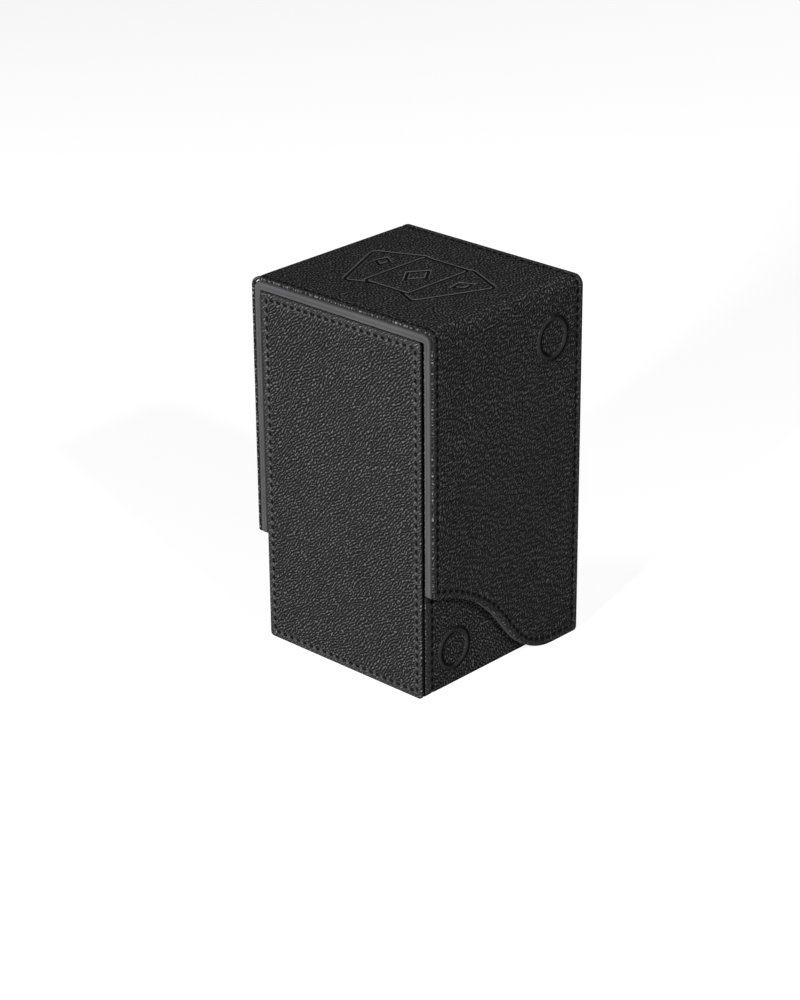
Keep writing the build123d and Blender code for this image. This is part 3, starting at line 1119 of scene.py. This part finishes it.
class DECKBOX_OT_lid_lining(bpy.types.Operator):
    """Make the lid's smooth lining, turned over the edge all the way round"""

    bl_idname = "deckbox.lid_lining"
    bl_label = "Lid Lining"

    def execute(self, context):
        s = settings_of(context)
        lid = Sizes(s.lid)
        corner = 0.3
        rise = lid.top - lid.roof - corner
        inner_x = lid.half_width - lid.wall
        legs = [(rise, 0), (corner, -90), (2 * (inner_x - corner), 0), (corner, -90), (rise, 0)]
        course = Course((-inner_x, 0), 90, legs, face=-1)
        roll = 0.4
        flat, side_gap, end_gap = flap_grid(
            lid, course.length, roll, 2.0, 1.6, 40, 1.6, turns=[(rise, corner)],
        )
        height = np.zeros(flat.shape[:2])
        thick = lid.wall - lid.skin
        turn_at = (rise, rise + corner * math.pi / 2)

        def thickness(p):
            top = ease(turn_at[0] - 0.1, turn_at[1] + 0.1, p)
            top *= 1 - ease(course.length - turn_at[1] - 0.1, course.length - turn_at[0] + 0.1, p)
            return 1 + top * ((lid.roof - lid.skin) / thick - 1)

        def mitre(p, out, down):
            if out < roll * 0.9:
                return 0 * p
            mid = (turn_at[0] + turn_at[1]) / 2
            near = np.minimum(np.abs(p - mid), np.abs(p - course.length + mid))
            return 0.16 * hump(near, 0.07)

        def lining_shade(k, depth, is_end):
            turned_in = 0.8 * ease(2.15, 2.5, depth) + 0.4 * hump(depth - 1.02, 0.2)
            return np.maximum(is_end * 0.8, turned_in)

        profile = [(0.12, -0.02), (0.26, -0.1), (0.36, -0.24), (0.4, -0.42), (0.4, -0.7),
                   (0.36, -0.92), (0.28, -1.02), (0.36, -1.14), (0.42, -1.4), (0.42, -1.8),
                   (0.38, -2.1), (0.22, -2.4), (-0.05, -2.66), (-0.3, -2.8)]
        cloth = microfibre("lid_lining_smooth", s.finish.edging, 0.12, 0.0003)
        piece = lay_sheet("lid_lining_sheet", course, flat, height, {}, profile,
                          (cloth, "lid", "lid_microfibre"),
                          depth_scale=thickness, pinch=mitre, shade=lining_shade)
        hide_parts("lid_lining")
        return {"FINISHED"}


class DECKBOX_OT_panel_coverings(bpy.types.Operator):
    """Make the front and back panel coverings, each with a rolled edge and a turned-in rim"""

    bl_idname = "deckbox.panel_coverings"
    bl_label = "Panel Coverings"

    def execute(self, context):
        s = settings_of(context)
        base, seams = Sizes(s.base), Sizes(s.seams)
        roll = 0.45
        for name, mirror in (("front", 1), ("back", -1)):
            course = panel_course(base, mirror)
            seam_in = seams.panel_inset
            steps = edge_steps(seam_in, roll)
            across = graded(-base.half_width + roll, base.half_width - roll, steps, FINE)
            rim_at = base.rim - RIM_TURN
            low, high = roll + steps, base.rim - seam_in - 1.6
            rim_end = rim_at + RIM_TURN * math.pi / 2
            up = np.concatenate([
                low,
                np.linspace(low[-1], high, round((high - low[-1]) / FINE) + 1)[1:],
                base.rim - seam_in - np.array([1.15, 0.8, 0.55, 0.35, 0.18, 0,
                                               -0.18, -0.35, -0.55, -0.8]),
                [rim_at - 0.3],
                np.linspace(rim_at, rim_end, 6),
                np.linspace(rim_end, course.length - 0.3, 6)[1:],
            ])
            p, w = np.meshgrid(up, across, indexing="ij")
            past = np.clip(p - rim_at - 0.35, 0, None)
            shrink = (base.half_width - roll - 0.9 * past) / (base.half_width - roll)
            low_gap, edge_gap = round_corner(p - roll, base.half_width - roll - np.abs(w), 1.0)
            w = np.sign(w) * (base.half_width - roll - edge_gap)
            p = low_gap + roll
            flat = np.stack([p, w * shrink], -1)
            side_gap = base.half_width - np.abs(flat[..., 1])
            end_gap = np.minimum(p, np.where(p < base.rim, base.rim - p, 0) + 0.05)
            distance = edge_distance(side_gap, end_gap, seam_in + 1.2)
            dimple = seam_relief(flat, *panel_seam(base, seams), seams.stitch)
            height = padding(distance, seam_in) * (p < base.rim) - seams.dimple * dimple
            border = 1 - ease(seam_in - 0.5, seam_in + 0.3, distance)
            calm = np.maximum(border * 0.25, 0.8 * hump(distance - seam_in, 0.75))
            profile = [(0.15, 0.0), (0.3, -0.06), (0.4, -0.18), (0.45, -0.36), (0.45, -0.75),
                       (0.4, -1.02), (0.2, -1.18), (-0.4, -1.2)]
            piece = lay_sheet(f"{name}_panel_covering", course, flat, height,
                              {"flattened": calm, "dimple": dimple}, profile,
                              (leatherette(s, "panel"), "base", "leatherette"),
                              origin=(400 if mirror > 0 else 600, 0),
                              shade=lambda k, depth, is_end: ease(0.12, 0.4, depth))
            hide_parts(f"base_{name}_skin")
        return {"FINISHED"}


class DECKBOX_OT_wrap_covering(bpy.types.Operator):
    """Make the covering that goes down one side, under the bottom and up the other side"""

    bl_idname = "deckbox.wrap_covering"
    bl_label = "Wrapped Covering"

    def execute(self, context):
        s = settings_of(context)
        base, seams, emboss = Sizes(s.base), Sizes(s.seams), Sizes(s.emboss)
        course, rim_length = wrap_course(base)
        roll = 0.35
        steps = edge_steps(seams.wrap_inset, roll)
        across = graded(-base.wrap_edge + roll, base.wrap_edge - roll, steps, MEDIUM)
        half = course.length / 2
        rim_flat = base.half_width - base.rim_x - RIM_TURN
        first = np.concatenate([
            np.linspace(0.3, rim_flat, 5), np.linspace(rim_flat, rim_length, 7)[1:],
        ])
        side_end = rim_length + base.rim - RIM_TURN - base.fold
        side = np.linspace(rim_length, side_end, round((side_end - rim_length) / FINE) + 1)[1:]
        fold_end = side_end + base.fold * math.pi / 2
        fold = np.linspace(side_end, fold_end, 8)[1:]
        under = np.linspace(fold_end, half, round((half - fold_end) / FINE) + 1)[1:]
        p_half = np.concatenate([first, side, fold, under])
        flat = sheet_grid(both_ways(p_half, course.length), across)
        p = flat[..., 0]
        from_end = np.minimum(p, course.length - p)
        mitre = base.panel_face - 0.1 - (base.half_width - base.rim_x) / 0.9 + from_end / 0.9
        shrink = (np.minimum(mitre, base.wrap_edge) - roll) / (base.wrap_edge - roll)
        shrink = np.where(from_end < rim_length, shrink, 1.0)
        flat = np.stack([p, flat[..., 1] * shrink], -1)
        side_gap = base.wrap_edge - np.abs(flat[..., 1])
        rings = []
        for y, z in ((-emboss.ring_y, emboss.ring_low), (emboss.ring_y, emboss.ring_high)):
            at = rim_length + base.rim - RIM_TURN - z
            rings += [(at, y), (course.length - at, y)]
        flat = snap_rings(flat, rings, emboss)
        height = padding(side_gap, seams.wrap_inset) * 0.7
        dimple = sum(seam_relief(flat, *wrap_seam(base, seams, side), seams.stitch)
                     for side in (-1, 1))
        ring, ring_gap, ring_turn = ring_relief(flat, rings, emboss)
        height = height * ease(rim_length, rim_length + 1, from_end) + ring - seams.dimple * dimple
        under_box = ease(side_end, fold_end, from_end)
        height -= under_box * 0.06
        height = np.where(under_box > 0, np.minimum(height, 0), height)
        border = 1 - ease(seams.wrap_inset - 0.6, seams.wrap_inset + 0.2, side_gap)
        profile = [(0.12, -0.01), (0.24, -0.06), (0.33, -0.18), (0.35, -0.4), (0.35, -0.7),
                   (0.45, -0.86), (1.2, -0.88)]
        end_profile = [(0.1, -0.02), (0.2, -0.07), (0.27, -0.16), (0.3, -0.3), (0.3, -0.5),
                       (0.3, -0.65), (0.2, -0.78)]
        border = np.maximum(border * 0.9, 0.8 * hump(side_gap - seams.wrap_inset, 0.75))
        masks = {"flattened": border, "dimple": dimple, "ring_gap": ring_gap * MM,
                 "ring_turn": ring_turn}
        finish = (leatherette(s, "wrapped"), "base", "leatherette")
        piece = lay_sheet("wrap_covering", course, flat, height, masks, profile, finish,
                          origin=(0, 200), end_profile=end_profile,
                          shade=lambda k, depth, is_end: ease(0.12, 0.4, depth) * (1 - is_end))
        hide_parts("base_wrap_skin")
        return {"FINISHED"}


class DECKBOX_OT_well_linings(bpy.types.Operator):
    """Make the three microfibre sheets that line the well"""

    bl_idname = "deckbox.well_linings"
    bl_label = "Well Linings"

    def execute(self, context):
        s = settings_of(context)
        base = Sizes(s.base)
        cloth = microfibre("well_microfibre", s.finish.well, 0.22, 0.00028)
        finish = (cloth, "base", "well_microfibre")
        drop = base.lining_top - base.well_floor
        corner = 0.6
        legs = [(drop - corner, 0), (corner, 90), (2 * (base.well_x - corner), 0), (corner, 90),
                (drop - corner, 0)]
        course = Course((-base.well_x, base.lining_top), 270, legs, face=1)
        profile = [(0.08, -0.02), (0.15, -0.08), (0.18, -0.2), (0.16, -0.36), (0.1, -0.48)]
        p_half = np.concatenate([
            np.linspace(0.2, drop - corner, 70),
            np.linspace(drop - corner, drop - corner + 0.94, 5)[1:],
            np.linspace(drop - corner + 0.95, course.length / 2, 20)[1:],
        ])
        edge = base.rim_y - 0.3
        flat = sheet_grid(both_ways(p_half, course.length), np.linspace(-edge, edge, 48))
        height = 0.05 * np.sin(flat[..., 0] * 0.31) * np.sin(flat[..., 1] * 0.27)
        piece = lay_sheet("well_wrap_lining", course, flat, height, {}, profile, finish)
        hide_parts("base_wrap_lining")
        for name, mirror in (("front", 1), ("back", -1)):
            course = Course((-base.well_y, base.well_floor), 90, [(drop, 0)], face=-1,
                            across="x", mirror=mirror)
            edge = base.well_x - 0.25
            flat = sheet_grid(np.linspace(0.25, drop - 0.2, 80), np.linspace(-edge, edge, 44))
            height = 0.05 * np.sin(flat[..., 0] * 0.27) * np.sin(flat[..., 1] * 0.33)
            piece = lay_sheet(f"well_{name}_lining", course, flat, height, {}, profile, finish,
                              origin=(150 * mirror, 90))
            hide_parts(f"base_{name}_lining")
        return {"FINISHED"}


class DECKBOX_OT_stitching(bpy.types.Operator):
    """Sew every seam: the lid's edge, both panels and the two edges of the wrapped covering"""

    bl_idname = "deckbox.stitching"
    bl_label = "Stitching"

    def execute(self, context):
        s = settings_of(context)
        lid, base, seams = Sizes(s.lid), Sizes(s.base), Sizes(s.seams)
        thread = sewing_thread(s)
        course = lid_course(lid)
        place, way = lid_seam(lid, seams, course.length)
        piece = sew("lid_stitches", course, place, way, SUNK, seams, (thread, "lid", "thread"))
        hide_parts("lid_thread")
        finish = (thread, "base", "thread")
        for name, mirror in (("front", 1), ("back", -1)):
            piece = sew(f"{name}_panel_stitches", panel_course(base, mirror),
                        *panel_seam(base, seams), SUNK, seams, finish)
            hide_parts(f"base_{name}_thread")
        for name, side in (("front", -1), ("rear", 1)):
            piece = sew(f"wrap_{name}_stitches", wrap_course(base)[0],
                        *wrap_seam(base, seams, side), SUNK - 0.06, seams, finish)
            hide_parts(f"base_wrap_{name}_thread")
        return {"FINISHED"}


class DECKBOX_OT_boards(bpy.types.Operator):
    """Finish the greyboards and magnets that the covering and lining enclose"""

    bl_idname = "deckbox.boards"
    bl_label = "Boards and Magnets"

    def execute(self, context):
        s = settings_of(context)
        board, plate = greyboard(s), nickel(s)
        for name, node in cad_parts.items():
            if name.endswith("_board") or name.endswith("_magnet"):
                finish = board if name.endswith("_board") else plate
                node.data.materials.clear()
                node.data.materials.append(finish)
        return {"FINISHED"}


class DECKBOX_OT_stage(bpy.types.Operator):
    """Make the floor, the soft studio lights, the surroundings and the camera"""

    bl_idname = "deckbox.stage"
    bl_label = "Stage"

    def execute(self, context):
        s = settings_of(context).stage
        scene = context.scene
        mesh = bpy.data.meshes.new("studio_floor")
        reach = 30.0  # m
        corners = [(-reach, -reach, 0), (reach, -reach, 0), (reach, reach, 0), (-reach, reach, 0)]
        mesh.from_pydata(corners, [], [(0, 1, 2, 3)])
        floor = bpy.data.objects.new("studio_floor", mesh)
        scene.collection.objects.link(floor)
        floor.visible_diffuse = False
        floor.visible_glossy = False
        material, w, shader = new_material("studio_floor")
        place = w.node("ShaderNodeTexCoord").outputs["Object"]
        mottle = w.blend(w.noise(place, 3.0), colour(s.floor), colour(s.floor, 0.985))
        w.dress(shader, {"Base Color": mottle, "Roughness": 0.9, "Specular IOR Level": 0.1,
                         "Emission Color": (1.0, 1.0, 1.0, 1.0), "Emission Strength": s.glow})
        mesh.materials.append(material)
        world = bpy.data.worlds.new("studio")
        world.use_nodes = True
        room = world.node_tree.nodes["Background"]
        w = Wiring(world.node_tree)
        seen = w.node("ShaderNodeLightPath").outputs["Is Camera Ray"]
        w.dress(room, {"Color": (1.0, 1.0, 1.0, 1.0),
                       "Strength": w.times_plus(seen, 1.0 - s.sky, s.sky)})
        scene.world = world
        for name, watts, size, spot in (
            ("key_softbox", s.key, (0.22, 0.22), (0.32, -1.46, 0.30)),
            ("side_softbox", s.side, (0.24, 0.24), (1.22, -0.33, 0.92)),
            ("fill_softbox", s.fill, (0.4, 0.4), (-1.1, -1.0, 0.5)),
            ("back_softbox", s.rim, (0.7, 0.4), (-0.3, 1.2, 0.7)),
        ):
            lamp = bpy.data.lights.new(name, "AREA")
            lamp.energy, lamp.shape = watts, "RECTANGLE"
            lamp.size, lamp.size_y = size
            light = bpy.data.objects.new(name, lamp)
            light.location = spot
            aim = Vector((0, 0, 0.06)) - light.location
            light.rotation_euler = aim.to_track_quat("-Z", "Y").to_euler()
            scene.collection.objects.link(light)
        back = Vector((math.sin(s.azimuth) * math.cos(s.elevation),
                       -math.cos(s.azimuth) * math.cos(s.elevation), math.sin(s.elevation)))
        right = Vector((math.cos(s.azimuth), math.sin(s.azimuth), 0))
        up = back.cross(right)
        c, n = math.cos(s.roll), math.sin(s.roll)
        right, up = c * right + n * up, -n * right + c * up
        lens = bpy.data.cameras.new("camera")
        lens.lens = s.lens
        camera = bpy.data.objects.new("camera", lens)
        facing = Matrix((right, up, back)).transposed().to_4x4()
        camera.matrix_world = Matrix.Translation(Vector(s.place)) @ facing
        scene.collection.objects.link(camera)
        scene.camera = camera
        scene.view_settings.view_transform = "Standard"
        return {"FINISHED"}


STEPS = (
    DECKBOX_OT_lid_covering,
    DECKBOX_OT_lid_lining,
    DECKBOX_OT_panel_coverings,
    DECKBOX_OT_wrap_covering,
    DECKBOX_OT_well_linings,
    DECKBOX_OT_stitching,
    DECKBOX_OT_boards,
    DECKBOX_OT_stage,
)


class DECKBOX_PT_panel(bpy.types.Panel):
    """Lists the steps that build the deck box and its sizes"""

    bl_label = "Card Deck Box"
    bl_idname = "DECKBOX_PT_panel"
    bl_space_type = "VIEW_3D"
    bl_region_type = "UI"
    bl_category = "Deck Box"

    def draw(self, context):
        layout = self.layout
        for step in STEPS:
            layout.operator(step.bl_idname)
        s = settings_of(context)
        for group in (s.lid, s.base, s.seams, s.emboss, s.finish, s.stage):
            box = layout.box()
            for key in group.bl_rna.properties.keys():
                if key not in ("rna_type", "name"):
                    box.prop(group, key)


CLASSES = (
    DeckBoxLid, DeckBoxBase, DeckBoxSeams, DeckBoxEmboss, DeckBoxFinish, DeckBoxStage,
    DeckBoxSettings, *STEPS, DECKBOX_PT_panel,
)


def register():
    for cls in CLASSES:
        bpy.utils.register_class(cls)
    bpy.types.Scene.deck_box = PointerProperty(type=DeckBoxSettings)


def unregister():
    del bpy.types.Scene.deck_box
    for cls in reversed(CLASSES):
        bpy.utils.unregister_class(cls)


def main():
    register()
    for step in STEPS:
        section, name = step.bl_idname.split(".")
        getattr(getattr(bpy.ops, section), name)()


if __name__ == "__main__":
    main()
